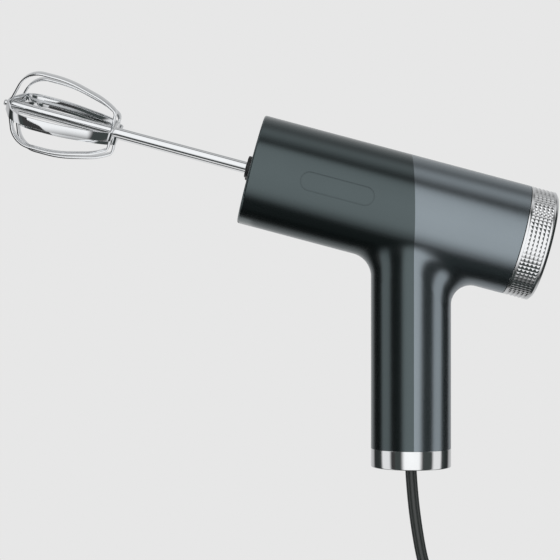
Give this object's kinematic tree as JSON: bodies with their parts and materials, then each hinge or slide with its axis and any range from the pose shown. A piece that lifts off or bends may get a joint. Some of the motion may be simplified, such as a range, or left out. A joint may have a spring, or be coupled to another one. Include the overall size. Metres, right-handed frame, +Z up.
{
  "type": "hand mixer",
  "caption": "Hand-held food mixer: tilted motor barrel on an upright grip, knurled speed dial at the rear, intermeshing strip beaters at the nose and a mains cord from the foot.",
  "frame": {"origin": "middle of the grip, on its axis", "axes": "+Z up along the grip's axis, -X toward the nose and beaters, -Y the near side with the engraved outline"},
  "size_m": [0.3317, 0.1272, 0.3061],
  "materials": {
    "front_shell": "satin dark slate, metallic",
    "rear_shell": "satin light slate, metallic",
    "chrome": "polished",
    "beater_steel": "polished",
    "black_plastic": "fine moulded",
    "black_rubber": "smooth",
    "steel": "turned",
    "bronze": "sintered",
    "copper": "enamelled",
    "gear_plastic": "moulded",
    "ferrite": "sintered",
    "carbon": "pressed",
    "board": "laminate",
    "component_plastic": "moulded",
    "lead_insulation": "smooth"
  },
  "bodies": {
    "housing": {"front_housing": "front_shell", "rear_housing": "rear_shell", "foot_ring": "chrome", "near_socket_collar": "black_plastic", "far_socket_collar": "black_plastic", "foot_plate": "black_plastic", "terminal_block": "black_plastic", "cord_clamp": "black_plastic", "speed_control": "black_plastic", "motor_end_cap": "black_plastic", "motor_bracket": "black_plastic", "plug_body": "black_plastic", "cord_grommet": "black_rubber", "supply_lead": "black_rubber", "cord": "black_rubber", "cord_coil": "black_rubber", "cord_tail": "black_rubber", "cord_tie": "black_rubber", "housing_screws": "steel", "cord_clamp_screws": "steel", "gearbox_front_plate": "steel", "gearbox_rear_plate": "steel", "gearbox_pillars": "steel", "compound_axle": "steel", "motor_can": "steel", "plug_pins": "steel", "spindle_front_bushes": "bronze", "spindle_rear_bushes": "bronze", "motor_front_bearing": "bronze", "motor_rear_bearing": "bronze", "motor_magnets": "ferrite", "carbon_brushes": "carbon", "control_board": "board", "board_components": "component_plastic", "mains_leads": "lead_insulation", "motor_leads": "lead_insulation"},
    "motor_rotor": {"motor_shaft": "steel", "armature_core": "steel", "armature_winding": "copper", "commutator": "bronze", "motor_pinion": "bronze"},
    "compound": {"compound_gear": "gear_plastic"},
    "near_spindle": {"near_spindle": "steel", "near_spindle_gear": "gear_plastic"},
    "far_spindle": {"far_spindle": "steel", "far_spindle_gear": "gear_plastic"},
    "near_beater": {"near_beater_shaft": "beater_steel", "near_beater_outer_loop": "beater_steel", "near_beater_inner_loop": "beater_steel"},
    "far_beater": {"far_beater_shaft": "beater_steel", "far_beater_outer_loop": "beater_steel", "far_beater_inner_loop": "beater_steel"},
    "dial": {"dial_ring": "chrome", "dial_hub": "black_plastic", "control_shaft": "steel"}
  },
  "joints": [
    {"name": "motor_spin", "type": "hinge", "parent": "housing", "child": "motor_rotor", "pos_m": [0, 0, 0.09], "axis": [-0.9664, 0, 0.2571], "continuous": true},
    {"name": "compound_spin", "type": "hinge", "parent": "housing", "child": "compound", "pos_m": [-0.00377, -0.00309, 0.07581], "axis": [-0.9664, 0, 0.2571], "continuous": true},
    {"name": "near_spindle_spin", "type": "hinge", "parent": "housing", "child": "near_spindle", "pos_m": [0, -0.0128, 0.09], "axis": [-0.9664, 0, 0.2571], "continuous": true},
    {"name": "far_spindle_spin", "type": "hinge", "parent": "housing", "child": "far_spindle", "pos_m": [0, 0.0128, 0.09], "axis": [-0.9664, 0, 0.2571], "continuous": true},
    {"name": "near_beater_release", "type": "slide", "parent": "near_spindle", "child": "near_beater", "axis": [-0.9664, 0, 0.2571], "range_m": [0, 0.031]},
    {"name": "far_beater_release", "type": "slide", "parent": "far_spindle", "child": "far_beater", "axis": [-0.9664, 0, 0.2571], "range_m": [0, 0.031]},
    {"name": "dial_turn", "type": "hinge", "parent": "housing", "child": "dial", "pos_m": [0, 0, 0.09], "axis": [-0.9664, 0, 0.2571], "range_deg": [0, 270]}
  ],
  "couplings": [
    {"joint": "compound_spin", "follows": "motor_spin", "ratio": -0.31579},
    {"joint": "near_spindle_spin", "follows": "motor_spin", "ratio": 0.11842},
    {"joint": "far_spindle_spin", "follows": "motor_spin", "ratio": -0.11842},
    {"joint": "far_beater_release", "follows": "near_beater_release", "ratio": 1}
  ]
}
